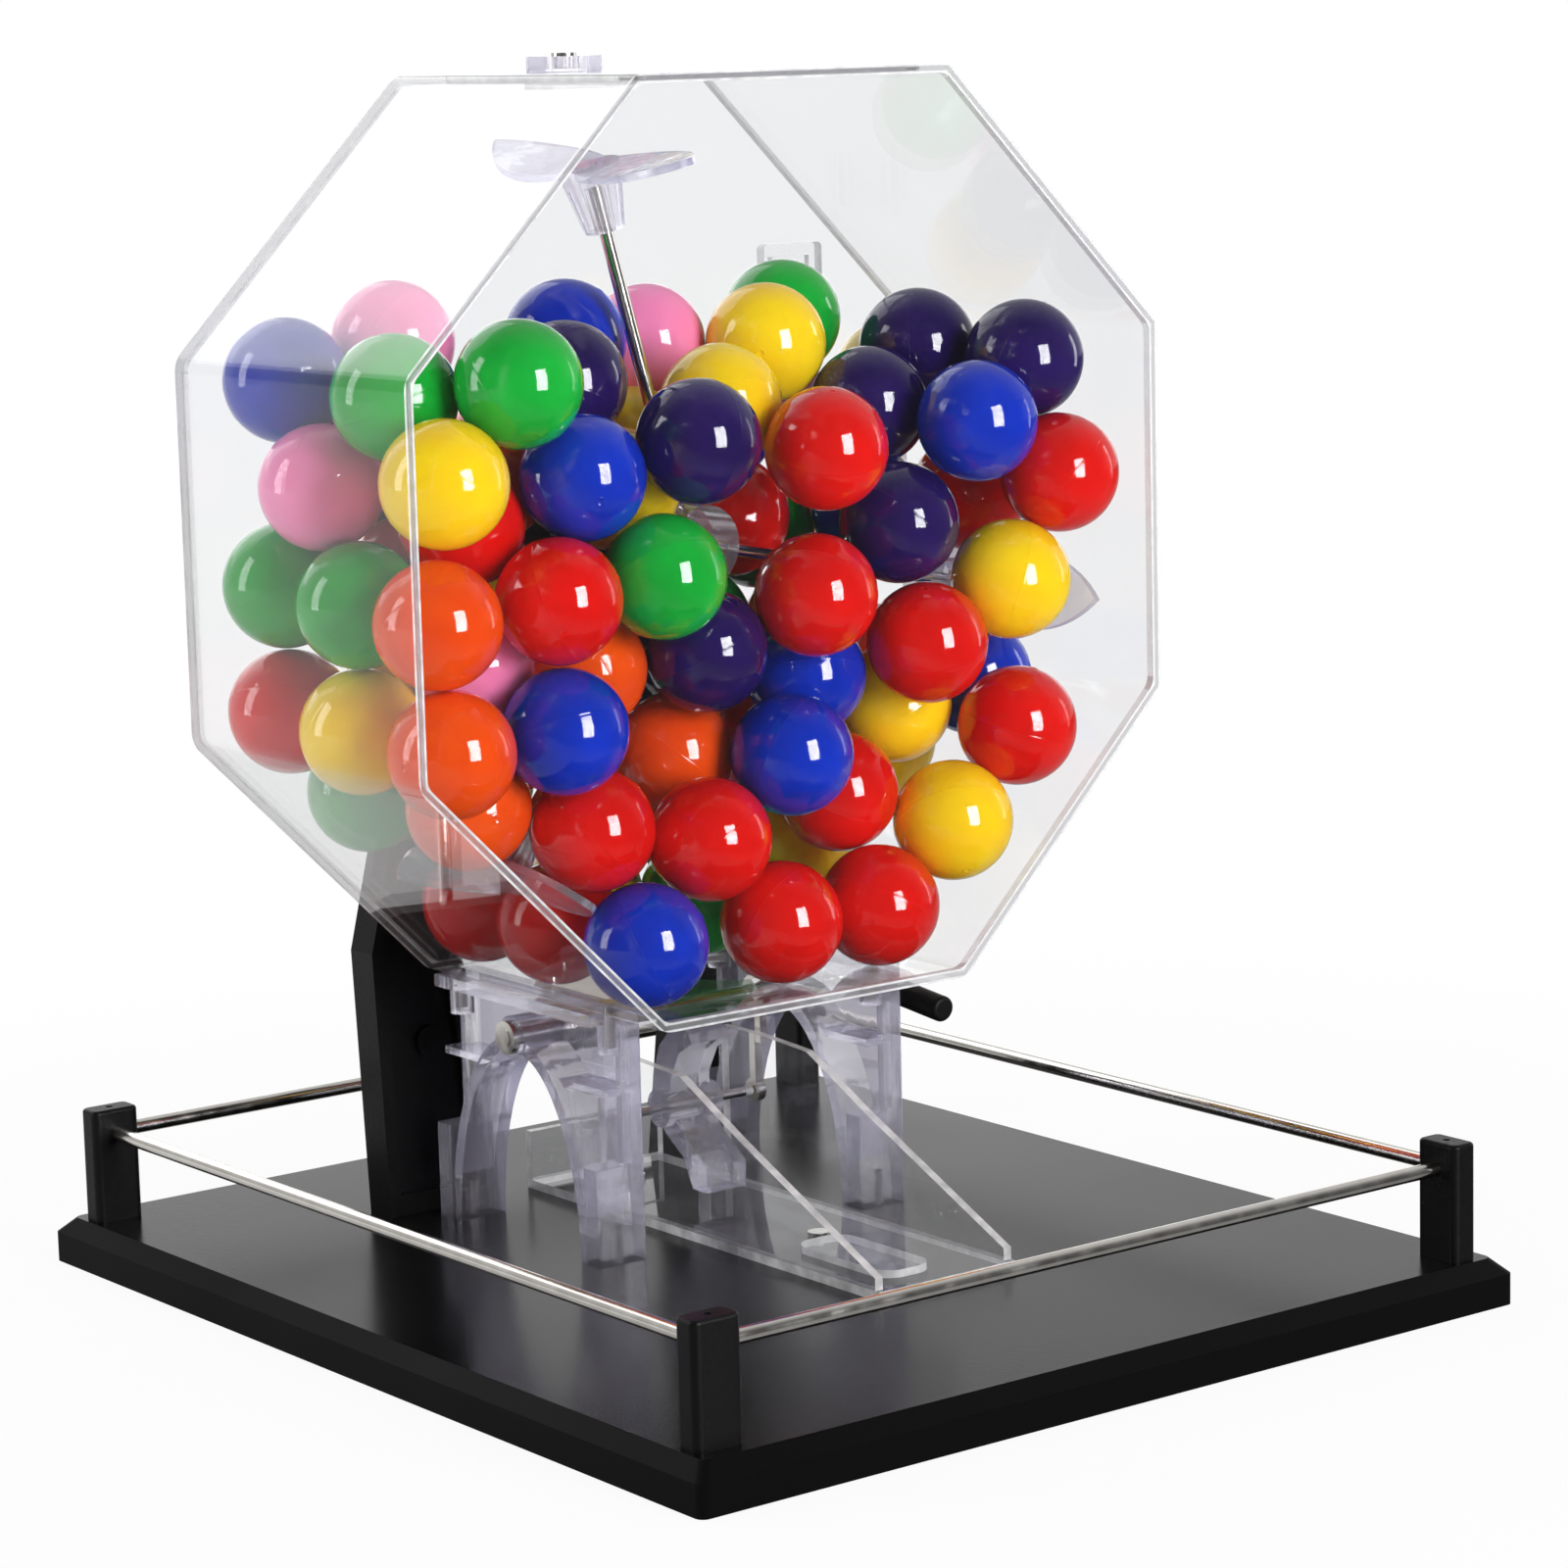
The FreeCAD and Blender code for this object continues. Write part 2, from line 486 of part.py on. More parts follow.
parts["lever_grip"] = sleeve.cut(lever_rod)
spring_x0 = -FRAME_X0 + SPRING_WIRE_R + 0.1
spring_x1 = spring_x0 + SPRING_TURNS * SPRING_PITCH
collars = []
for x in (-FRAME_X0 - FRAME_W - 0.3 - COLLAR_W, spring_x1 + SPRING_WIRE_R + 0.3):
    collars.append(rod(COLLAR_R, (x, LEVER_Y, LEVER_Z), (x + COLLAR_W, LEVER_Y, LEVER_Z)).cut(lever_rod))
parts["lever_collars"] = Part.makeCompound(collars)
coil = Part.makeHelix(SPRING_PITCH, SPRING_TURNS * SPRING_PITCH, SPRING_R)
ring = Part.Wire(Part.Circle(V(SPRING_R, 0, 0), Y_AXIS, SPRING_WIRE_R).toShape())
spring = Part.Wire(coil).makePipeShell([ring], True, True)
spring.rotate(V(0, 0, 0), Y_AXIS, 90)
spring.translate(V(spring_x0, LEVER_Y, LEVER_Z))
parts["lever_spring"] = spring

finger_x0, finger_x1 = CHUTE_X1 + 0.5, CHUTE_X1 + 0.5 + FINGER_T
finger = rod(6.0, (finger_x0, LEVER_Y, LEVER_Z), (finger_x1, LEVER_Y, LEVER_Z))
finger_low = LEVER_Z - FINGER_L
finger_y = LEVER_Y - 0.5        # the side of the finger that pushes the crank
finger = finger.fuse(box(finger_x0, finger_x1, finger_y - FINGER_T, finger_y, finger_low, LEVER_Z))
parts["lever_finger"] = finger.cut(lever_rod).removeSplitter()


# ---- chute ---------------------------------------------------------------------------------
floor_z = BOARD_T + ACRYLIC_T
parts["chute_base"] = box(CHUTE_X0, CHUTE_X1, CHUTE_Y0 - 2, CHUTE_Y1, BOARD_T, floor_z)
SIDE_OUTLINE = [(CHUTE_Y0, floor_z), (CHUTE_Y0, 22), (-15, 54), (15, 69), (40, 70.5)]
SIDE_OUTLINE += [(CHUTE_SIDE_BACK, 70.5), (CHUTE_SIDE_BACK, floor_z)]
gate_hole = rod(GATE_ROD_R + RUN, (CHUTE_X0 - 1, GATE_Y, GATE_Z), (CHUTE_X1 + 1, GATE_Y, GATE_Z))
left_side = plate_yz(CHUTE_X0, CHUTE_X0 + ACRYLIC_T, SIDE_OUTLINE)
right_side = plate_yz(CHUTE_X1 - ACRYLIC_T, CHUTE_X1, SIDE_OUTLINE)
parts["chute_side_left"] = left_side.cut(gate_hole)
parts["chute_side_right"] = right_side.cut(gate_hole)
parts["chute_back"] = box(CHUTE_X0, CHUTE_X1, CHUTE_Y1 - ACRYLIC_T, CHUTE_Y1, floor_z, floor_z + 17)
parts["chute_pad"] = rounded(box(-10, 10, -78, -30, floor_z, floor_z + 2.5), 7, Z_AXIS)
chute_screws = []
for y in (-22.0, 80.0):
    domed = rod(3.6, (7, y, floor_z), (7, y, floor_z + 1.8))
    chute_screws.append(domed.fuse(rod(SCREW_R, (7, y, BOARD_T - 9), (7, y, floor_z))))
parts["chute_screws"] = Part.makeCompound(chute_screws)
for screw in chute_screws:
    parts["chute_base"] = parts["chute_base"].cut(screw)


# ---- ball gate -----------------------------------------------------------------------------
# The gate's side view, from its pivot. All that swings past the lever's shaft stays inside a radius of 30.5.
GATE_OUTER = [(-13.8, 27.1), (-6, 29.5), (3, 20.5), (7, 9.5), (7, -2.5), (0, -9.5), (-9, -15.5), (-14, -25.5)]
GATE_OUTER += [(-22, -25.5), (-22, -16.5)]
GATE_INNER = [(-16, -12.5), (-8, -6.5), (-3, 0.5), (-3, 10.5), (-8, 19.5), (-15.5, 24)]
gate_x0 = EXIT_X - GATE_W / 2
gate_side = [(GATE_Y + y, GATE_Z + z) for y, z in GATE_OUTER + GATE_INNER]
gate = plate_yz(gate_x0, gate_x0 + GATE_W, gate_side)
gate = gate.fuse(rod(GATE_HUB_R, (gate_x0 - 3, GATE_Y, GATE_Z), (gate_x0 + GATE_W + 3, GATE_Y, GATE_Z)))
gate_rod = rod(GATE_ROD_R, (CHUTE_X0 - 2, GATE_Y, GATE_Z), (finger_x1 + 0.8, GATE_Y, GATE_Z))
crank = rod(4.0, (finger_x0, GATE_Y, GATE_Z), (finger_x1, GATE_Y, GATE_Z))
crank_y, crank_top = finger_y + 0.3, finger_low + FINGER_OVERLAP
crank = crank.fuse(box(finger_x0, finger_x1, crank_y, crank_y + FINGER_T, GATE_Z, crank_top))
parts["gate_lever"] = gate.cut(gate_rod).removeSplitter()
parts["gate_rod"] = gate_rod
parts["gate_crank"] = crank.cut(gate_rod).removeSplitter()

for screw in chute_screws:
    board = board.cut(screw)
for screw in board_screws:
    c = screw.BoundBox.Center
    board = board.cut(rod(SCREW_HEAD_R, (c.x, c.y, -1), (c.x, c.y, 1.0 + SCREW_HEAD_T)))
    board = board.cut(rod(SCREW_R, (c.x, c.y, 1), (c.x, c.y, BOARD_T + 1)))
parts["base_board"] = board


# ---- balls ---------------------------------------------------------------------------------
# Where each ball that shows starts, in ball diameters from the tank's middle on the plane Y = 0.
# They are then let down until they rest.
SEEN = {
    "blue": [
        (-3.1, 1.9, 1.3), (-0.8, 1.3, 1.5), (-1.5, 0.1, 0.6), (2.3, -0.3, 0.8), (-1.8, 0, -1.3),
        (1.0, 0.5, -1.4), (0.3, -0.2, -1.7), (-1.2, -0.3, -3.1), (3.0, 1.0, -1.4),
    ],
    "pink": [(-2.0, 1.9, 1.6), (0.4, 1.8, 1.4), (-3.1, 1.3, 0.5)],
    "green": [
        (-2.9, 0.5, 1.3), (-2.3, -0.3, 1.4), (-0.8, -0.1, -0.2), (-3.1, 1.9, -0.3), (-3.1, 0.9, -0.4),
        (-2.3, 1.9, -2.1), (0.2, 0.8, -3.1),
    ],
    "yellow": [
        (1.3, 1.3, 1.4), (0.4, 0.8, 1.0), (-3.0, -0.3, 0.7), (3.0, -0.1, -0.6), (1.9, 0.6, -1.7),
        (2.4, 1.3, -1.9), (2.1, -0.3, -2.3), (-3.1, 0.9, -1.4), (1.1, 1.1, -2.7), (3.0, 1.9, 1.0),
    ],
    "purple": [
        (-0.4, 0.1, 0.7), (1.7, 0.5, 0.9), (2.8, 1.1, 1.3), (3.1, 0.3, 1.2), (1.6, 0, 0),
        (-0.2, 0.3, -0.9),
    ],
    "red": [
        (0.7, -0.2, 0.7), (3.1, -0.3, 0.3), (0.5, 0.8, 0), (3.0, 0.8, -0.2), (-2.0, -0.2, -0.3),
        (-2.2, 0.9, 0), (0.6, -0.2, -0.6), (2.2, 0.3, -1.0), (2.8, -0.3, -1.6), (1.5, 0.4, -2.3),
        (-3.1, 1.9, -1.3), (-1.6, -0.1, -2.3), (0, 0.4, -2.6), (0.4, -0.3, -3.1), (1.4, -0.3, -3.0),
        (-1.4, 1.0, -3.0),
    ],
    "orange": [
        (-3.1, -0.3, -0.4), (-0.4, 0.5, -1.8), (-3.0, -0.3, -1.4), (-2.3, 0.8, -2.1), (-1.6, 1.2, 0.4),
        (-0.9, 1.1, -1.0),
    ],
}
FILL_COLOURS = ("red", "yellow", "blue", "purple", "green", "orange", "pink")
HEAP_RISE = 30.5                # top of the balls that fill up behind, above the tank's middle
FILL_STEP, FILL_PITCH = 17.0, 34.0
SEEN_EASE = 0.15                # how far a ball that shows gives way, against one that fills up
SINK = 0.03                     # how far a ball sinks in the first round
HOLD = 0.05                     # pull of a ball that shows back to where it started, per round
SLIDE = (0.6, 0.8, 0.0)         # the way it may drift freely
HOLD_ROUNDS, SINK_ROUNDS, SETTLE_ROUNDS, NEAR_ROUNDS = 1000, 1300, 2600, 40
BALL_GAP = 0.06


def obstacles():
    """Centre lines and radii that a ball keeps clear of: the stirrer, and the middle of the exit hole."""
    found = [((0, ARM_Y, AXLE_Z), (0, TANK_BACK, AXLE_Z), BUSH_FLANGE_R + 0.5)]
    half = BOSS_L / 2 - BOSS_R * 0.5
    found.append(((0, ARM_Y - half, AXLE_Z), (0, ARM_Y + half, AXLE_Z), BOSS_R + 3))
    for angle in ARM_ANGLES:
        found.append((polar(0, angle, ARM_Y), polar(CUP_R0, angle, ARM_Y), ARM_R + 0.3))
        found.append((polar(CUP_R0 + 6, angle, ARM_Y), polar(CUP_R1, angle, ARM_Y), CUP_WIDE_R + 1))
        across = V(-math.sin(math.radians(angle)), 0, math.cos(math.radians(angle)))
        for end, top in BLADES:
            for side in (-0.85, 0, 0.85):
                line = []
                for along, width, rise in BLADE_STATIONS:
                    radius = CUP_R1 + rise * top + BLADE_T / 2
                    middle = V(*polar(radius, angle, ARM_Y + along * (end - ARM_Y)))
                    line.append(tuple(middle + across * side * width * BLADE_HALF_W))
                for start, stop in zip(line, line[1:]):
                    found.append((start, stop, BLADE_T / 2 + 2.8))
    rim = EXIT_D / 2 - BALL_D / 2 + 0.5
    found.append(((EXIT_X, EXIT_Y, TANK_Z - inner_a), (EXIT_X, EXIT_Y, TANK_Z - inner_a + 27), rim))
    return found


def away_from_segment(p, start, end):
    """Vector from the nearest point of a segment to p, and its length."""
    ab = [e - s for s, e in zip(start, end)]
    ap = [c - s for s, c in zip(start, p)]
    size = sum(c * c for c in ab)
    t = max(0.0, min(1.0, sum(a * b for a, b in zip(ab, ap)) / size))
    out = [ap[k] - t * ab[k] for k in range(3)]
    return out, math.sqrt(sum(c * c for c in out)) or 1e-9


def settle(balls, seen, first=0):
    """Let the balls sink until they rest on each other, the tank and the stirrer, from round first on.

    The first ones, which show, give way less than the ones that fill up behind them. In the last
    rounds all give way alike.
    """
    ball_r = BALL_D / 2
    gap = BALL_D + BALL_GAP
    keep_off = obstacles()
    near = [[] for _ in balls]
    home = [tuple(p) for p in balls[:seen]]
    wall = inner_a - ball_r - BALL_GAP
    normals = [(math.cos(math.pi / 4 * n), math.sin(math.pi / 4 * n)) for n in range(8)]
    y_low = TANK_FRONT + ACRYLIC_T + ball_r + BALL_GAP
    y_high = TANK_BACK - ACRYLIC_T - ball_r - BALL_GAP
    for step in range(first, SETTLE_ROUNDS):
        sink = max(0.0, SINK * (1 - step / SINK_ROUNDS))
        held = step < HOLD_ROUNDS
        ease = [SEEN_EASE if held and n < seen else 1.0 for n in range(len(balls))]
        for n, p in enumerate(balls):
            p[2] -= sink * ease[n]
            if held and n < seen:
                astray = [a - b for a, b in zip(home[n], p)]
                along = sum(a * b for a, b in zip(astray, SLIDE))
                for k in range(3):
                    p[k] += HOLD * (astray[k] - along * SLIDE[k])
            if step == first or step % NEAR_ROUNDS == 0:
                near[n] = [o for o in keep_off if away_from_segment(p, o[0], o[1])[1] < BALL_D + o[2]]
        order = sorted(range(len(balls)), key=lambda n: balls[n][2])
        for place, i in enumerate(order):
            p = balls[i]
            for j in order[place + 1:]:
                q = balls[j]
                if q[2] - p[2] > gap:
                    break
                dx, dy, dz = q[0] - p[0], q[1] - p[1], q[2] - p[2]
                d2 = dx * dx + dy * dy + dz * dz
                if d2 >= gap * gap:
                    continue
                d = math.sqrt(d2) or 1e-9
                share = (gap - d) / d / (ease[i] + ease[j])
                for k, step_k in enumerate((dx, dy, dz)):
                    p[k] -= share * ease[i] * step_k
                    q[k] += share * ease[j] * step_k
        for n, p in enumerate(balls):
            for start, end, radius in near[n]:
                out, d = away_from_segment(p, start, end)
                short = ball_r + radius + BALL_GAP - d
                if short > 0:
                    for k in range(3):
                        p[k] += short * out[k] / d
            for nx, nz in normals:
                over = p[0] * nx + (p[2] - TANK_Z) * nz - wall
                if over > 0:
                    p[0] -= over * nx
                    p[2] -= over * nz
            p[1] = min(max(p[1], y_low), y_high)


def room_of(balls, n):
    """Distance from a ball's middle to the nearest other one's, and the ball's number."""
    return min(math.dist(balls[n], b) for m, b in enumerate(balls) if m != n), n


def heap():
    """Colour and resting place of every ball. Balls that fill up and find no room are taken out again."""
    colours, balls = [], []
    for colour, places in SEEN.items():
        for x, y, z in places:
            colours.append(colour)
            balls.append([x * BALL_D, y * BALL_D, TANK_Z + z * BALL_D])
    seen = len(balls)
    limit = inner_a - BALL_D / 2
    rear = TANK_BACK - ACRYLIC_T - BALL_D / 2 - 1
    rows, columns = int((limit + HEAP_RISE) / FILL_STEP) + 1, int(limit / FILL_STEP)
    for y in (rear, rear - BALL_D - 1):
        for row in range(rows):
            z = TANK_Z - limit + 0.5 + FILL_STEP * row
            for column in range(-columns, columns + 1):
                x = FILL_STEP * column
                low = TANK_Z - z
                if abs(x) > limit or abs(x) + abs(low) > limit * math.sqrt(2) or -low > HEAP_RISE:
                    continue
                if min(math.dist((x, y, z), b) for b in balls) < FILL_PITCH:
                    continue
                colours.append(FILL_COLOURS[(len(balls) - seen) % len(FILL_COLOURS)])
                balls.append([x, y, z])
    settle(balls, seen)
    room, worst = min(room_of(balls, n) for n in range(seen, len(balls)))
    while room < BALL_D:
        del balls[worst], colours[worst]
        settle(balls, seen, SINK_ROUNDS)
        room, worst = min(room_of(balls, n) for n in range(seen, len(balls)))
    return colours, balls


ball_colours, ball_places = heap()
for colour in SEEN:
    spheres = [Part.makeSphere(BALL_D / 2, V(*p)) for c, p in zip(ball_colours, ball_places) if c == colour]
    parts["balls_" + colour] = Part.makeCompound(spheres)


# ---- export --------------------------------------------------------------------------------
os.makedirs("parts", exist_ok=True)
for name, shape in parts.items():
    shape.exportStep("parts/%s.step" % name)
print(len(parts), "nodes,", len(ball_places), "balls")
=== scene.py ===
"""Raffle drum: look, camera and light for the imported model. Metres, in the CAD's frame."""
import math
import random

import bmesh
import bpy
from mathutils import Matrix, Vector


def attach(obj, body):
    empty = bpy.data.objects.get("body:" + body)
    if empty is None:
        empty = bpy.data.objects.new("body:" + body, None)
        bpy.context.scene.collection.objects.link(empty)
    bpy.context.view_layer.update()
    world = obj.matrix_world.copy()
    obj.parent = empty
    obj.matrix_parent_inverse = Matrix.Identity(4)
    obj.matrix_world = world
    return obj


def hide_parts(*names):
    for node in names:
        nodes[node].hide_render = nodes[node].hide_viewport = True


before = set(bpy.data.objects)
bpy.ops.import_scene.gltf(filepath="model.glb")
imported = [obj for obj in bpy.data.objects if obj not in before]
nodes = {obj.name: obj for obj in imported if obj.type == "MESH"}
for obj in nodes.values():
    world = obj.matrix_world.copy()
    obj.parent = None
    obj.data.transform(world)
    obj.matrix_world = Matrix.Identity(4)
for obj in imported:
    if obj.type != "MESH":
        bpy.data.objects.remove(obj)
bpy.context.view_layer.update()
scene = bpy.context.scene

# ---- camera, as fitted to the photograph --------------------------------------------------------
CAM_AZIMUTH, CAM_ELEVATION, CAM_ROLL = math.radians(-37.28), math.radians(9.5), math.radians(-1.45)
CAM_PLACE = Vector((-0.8739, -1.1667, 0.4082))
CAM_LENS, CAM_SENSOR = 105.75, 36       # millimetres
CAM_NEAR, CAM_FAR = 0.05, 60

# ---- node helpers -------------------------------------------------------------------------------
MIX_A, MIX_B, MIX_RESULT = 6, 7, 2      # the Mix node's sockets for colours


class Graph:
    """Short calls for building the nodes of a material or a world."""

    def __init__(self, owner, out_kind="ShaderNodeOutputMaterial"):
        self.owner = owner
        owner.use_nodes = True
        self.tree = owner.node_tree
        self.tree.nodes.clear()
        self.out = self.add(out_kind)

    def add(self, kind, **values):
        node = self.tree.nodes.new(kind)
        for key, value in values.items():
            setattr(node, key, value)
        return node

    def link(self, source, target):
        self.tree.links.new(source, target)

    def put(self, socket, value):
        """A link where the value is another node's output, and a plain number or colour otherwise."""
        if isinstance(value, bpy.types.NodeSocket):
            self.link(value, socket)
        else:
            socket.default_value = value

    def math(self, operation, *values):
        node = self.add("ShaderNodeMath", operation=operation)
        for socket, value in zip(node.inputs, values):
            self.put(socket, value)
        return node.outputs[0]

    def mix_colour(self, factor, a, b):
        node = self.add("ShaderNodeMix", data_type="RGBA")
        self.put(node.inputs["Factor"], factor)
        self.put(node.inputs[MIX_A], a)
        self.put(node.inputs[MIX_B], b)
        return node.outputs[MIX_RESULT]

    def mix_shader(self, factor, a, b):
        node = self.add("ShaderNodeMixShader")
        self.put(node.inputs[0], factor)
        self.link(a, node.inputs[1])
        self.link(b, node.inputs[2])
        return node.outputs[0]

    def ramp(self, value, low, high, out_low=0.0, out_high=1.0, shape="LINEAR"):
        node = self.add("ShaderNodeMapRange", interpolation_type=shape)
        self.put(node.inputs["Value"], value)
        node.inputs["From Min"].default_value = low
        node.inputs["From Max"].default_value = high
        node.inputs["To Min"].default_value = out_low
        node.inputs["To Max"].default_value = out_high
        return node.outputs[0]

    def place(self, kind="Object"):
        return self.add("ShaderNodeTexCoord").outputs[kind]

    def part(self, vector, axis):
        split = self.add("ShaderNodeSeparateXYZ")
        self.link(vector, split.inputs[0])
        return split.outputs[axis]

    def along(self, vector, way):
        """How far a vector reaches along a direction."""
        node = self.add("ShaderNodeVectorMath", operation="DOT_PRODUCT")
        self.link(vector, node.inputs[0])
        node.inputs[1].default_value = way
        return node.outputs["Value"]

    def noise(self, scale, detail=3.0, stretch=(1, 1, 1)):
        mapping = self.add("ShaderNodeMapping")
        self.link(self.place(), mapping.inputs["Vector"])
        mapping.inputs["Scale"].default_value = stretch
        node = self.add("ShaderNodeTexNoise")
        self.link(mapping.outputs[0], node.inputs["Vector"])
        node.inputs["Scale"].default_value = scale
        node.inputs["Detail"].default_value = detail
        return node.outputs["Fac"]

    def bump(self, height, strength, distance=0.0005):
        node = self.add("ShaderNodeBump")
        node.inputs["Strength"].default_value = strength
        node.inputs["Distance"].default_value = distance
        self.link(height, node.inputs["Height"])
        return node.outputs[0]

    def facing(self, axis):
        """How far the surface faces along an axis of the model, 0 to 1."""
        return self.math("ABSOLUTE", self.part(self.place("Normal"), axis))

    def gloss(self, slant, power, straight, gain):
        """Share that is mirrored: more at a slant."""
        return self.math("ADD", self.math("MULTIPLY", self.math("POWER", slant, power), gain), straight)

    def shader(self, kind, **values):
        """Output of a shader node, with its sockets named by keyword."""
        node = self.add("ShaderNode" + kind)
        for key, value in values.items():
            self.put(node.inputs[key.replace("_", " ")], value)
        return node.outputs[0]

    def seen_by_eye(self, paths):
        return self.math("MAXIMUM", paths["Is Camera Ray"], paths["Is Transmission Ray"])

    def done(self, shader):
        self.link(shader, self.out.inputs["Surface"])
        return self.owner


def new_material(name):
    return Graph(bpy.data.materials.new(name))


def rgb(r, g, b):
    return (r, g, b, 1.0)


# ---- materials ----------------------------------------------------------------------------------
WHITE = rgb(1, 1, 1)
MIDDLE = (0.3, 0.7)                     # most of a noise's values lie between these
TOP_FACES, EDGE_FACES = (0.9, 0.99), (0.85, 0.97)   # how far a face has to look along an axis to count
TANK_A, TANK_Z, SHEET_T = 0.147, 0.2445, 0.003      # the tank's half width, middle height and thickness
CORE_ENDS, CORE_SHADE_SHARE = (0.2, 0.34), 0.45    # core of the wall's cut edges, with painted grey shade: its half depth, and the painted shade's share
GLASS_SHARE = 0.55                      # of light that a moulding bends


def board_material():
    """Black laminate: a glossy top, and duller milled edges."""
    g = new_material("board_laminate")
    top = g.ramp(g.facing("Z"), *TOP_FACES)
    relief = g.bump(g.noise(900, 4), 0.06)
    cloud = g.noise(9)
    laminate = g.shader(
        "BsdfPrincipled",
        Base_Color=g.mix_colour(cloud, rgb(0.003, 0.003, 0.0032), rgb(0.006, 0.006, 0.0062)),
        Roughness=g.ramp(cloud, *MIDDLE, 0.17, 0.24),
        Specular_IOR_Level=0.12,
        Normal=relief,
    )
    milled = g.shader(
        "BsdfPrincipled",
        Base_Color=rgb(0.003, 0.003, 0.003),
        Roughness=g.ramp(cloud, *MIDDLE, 0.5, 0.62),
        Specular_IOR_Level=0.07,
        Normal=relief,
    )
    return g.done(g.mix_shader(top, milled, laminate))


def steel_material():
    g = new_material("polished_steel")
    streak = g.noise(140)
    colour = g.mix_colour(streak, rgb(0.62, 0.59, 0.54), rgb(0.84, 0.82, 0.78))
    rough = g.ramp(streak, *MIDDLE, 0.1, 0.22)
    return g.done(g.shader("BsdfPrincipled", Base_Color=colour, Metallic=1.0, Roughness=rough))


def black_plastic_material(name, rough, grain):
    g = new_material(name)
    fine = g.noise(grain, 4)
    shader = g.shader(
        "BsdfPrincipled",
        Base_Color=g.mix_colour(g.noise(30, 2), rgb(0.002, 0.002, 0.0023), rgb(0.005, 0.005, 0.0055)),
        Roughness=g.ramp(fine, *MIDDLE, rough - 0.05, rough + 0.06),
        Specular_IOR_Level=0.13,
        Normal=g.bump(fine, 0.12),
    )
    return g.done(shader)


def tank_depth(g):
    """How deep a point lies in the tank's octagonal wall: 0 on the outer face, 1 on the inner one."""
    place = g.place()
    x = g.part(place, "X")
    z = g.math("SUBTRACT", g.part(place, "Z"), TANK_Z)
    slanted = [g.math("ABSOLUTE", g.math(way, x, z)) for way in ("ADD", "SUBTRACT")]
    slanted = g.math("MULTIPLY", g.math("MAXIMUM", *slanted), math.sqrt(0.5))
    straight = g.math("MAXIMUM", g.math("ABSOLUTE", x), g.math("ABSOLUTE", z))
    return g.ramp(g.math("MAXIMUM", straight, slanted), TANK_A, TANK_A - SHEET_T)


def sheet_material(name, axis, edge_is_face, haze, wall=False):
    """Clear acrylic sheet: see-through, mirror-like at a slant, with bright cut edges.

    axis is the one the sheet's cut edges face, or the broad faces where edge_is_face is False.
    The wall of the tank has painted grey shade in the core of its cut edges, between their bright outer
    parts.
    """
    g = new_material(name)
    edge = g.ramp(g.facing(axis), *EDGE_FACES)
    if not edge_is_face:
        edge = g.math("SUBTRACT", 1.0, edge)
    slant = g.add("ShaderNodeLayerWeight").outputs["Facing"]
    clear = g.shader("BsdfTransparent", Color=rgb(0.985, 0.987, 0.99))
    mirror = g.shader("BsdfGlossy", Color=WHITE, Roughness=g.ramp(g.noise(14, 4), *MIDDLE, 0.01, 0.035))
    dust = g.shader("BsdfDiffuse", Color=rgb(0.9, 0.9, 0.92))
    hazy = g.mix_shader(g.ramp(g.noise(30, 4), *MIDDLE, haze * 0.5, haze * 1.5), clear, dust)
    sheet = g.mix_shader(g.gloss(slant, 5.0, 0.024, 0.975), hazy, mirror)
    patches = g.noise(160, 4)
    frosted = g.shader(
        "BsdfPrincipled",
        Base_Color=g.mix_colour(patches, rgb(0.62, 0.62, 0.63), rgb(0.95, 0.95, 0.96)),
        Roughness=0.18,
    )
    cut_clear = g.shader("BsdfTransparent", Color=rgb(0.9, 0.9, 0.92))
    cut = g.mix_shader(g.ramp(patches, *MIDDLE, 0.55, 0.9), cut_clear, frosted)
    if wall:
        from_middle = g.math("ABSOLUTE", g.math("SUBTRACT", tank_depth(g), 0.5))
        # Painted shade: a grey matt core, half see-through, stands in for the dark look through the middle
        # of the cut edge.
        core = g.mix_shader(CORE_SHADE_SHARE, cut_clear, g.shader("BsdfDiffuse", Color=rgb(0.3, 0.3, 0.31)))
        cut = g.mix_shader(g.ramp(from_middle, *CORE_ENDS), core, cut)
    return g.done(g.mix_shader(edge, sheet, cut))


def moulding_material(name, straight, slanting, milk, share):
    """Clear moulding: its tint deepens at a slant, and a share of milk catches the light."""
    g = new_material(name)
    relief = g.bump(g.noise(55, stretch=(1, 1, 0.35)), 0.25, 0.002)
    weight = g.add("ShaderNodeLayerWeight")
    g.link(relief, weight.inputs["Normal"])
    slant = weight.outputs["Facing"]
    tint = g.mix_colour(g.ramp(slant, 0.25, 0.95), rgb(*straight), rgb(*slanting))
    clear = g.shader("BsdfTransparent", Color=tint)
    body = g.shader("BsdfDiffuse", Color=rgb(*milk), Normal=relief)
    hazy = g.mix_shader(g.ramp(slant, 0.3, 1.0, share, share * 3.5), clear, body)
    mirror = g.shader("BsdfGlossy", Color=WHITE, Roughness=0.09, Normal=relief)
    surface = g.mix_shader(g.gloss(slant, 4.0, 0.06, 0.9), hazy, mirror)
    glass = g.shader(
        "BsdfPrincipled",
        Base_Color=rgb(*straight), Roughness=0.05, IOR=1.4, Transmission_Weight=1.0, Normal=relief,
    )
    return g.done(g.mix_shader(GLASS_SHARE, surface, glass))


def ball_material(name, colour, deep):
    """Glossy blow-moulded ball, a little darker in patches, with fine speckle in the gloss."""
    g = new_material(name)
    fine = g.noise(420, 2)
    shader = g.shader(
        "BsdfPrincipled",
        Base_Color=g.mix_colour(g.ramp(g.noise(45, 2), 0.35, 0.65), rgb(*deep), rgb(*colour)),
        Roughness=g.ramp(fine, 0.35, 0.7, 0.03, 0.07),
        Specular_IOR_Level=0.5,
        Normal=g.bump(fine, 0.03),
    )
    return g.done(shader)


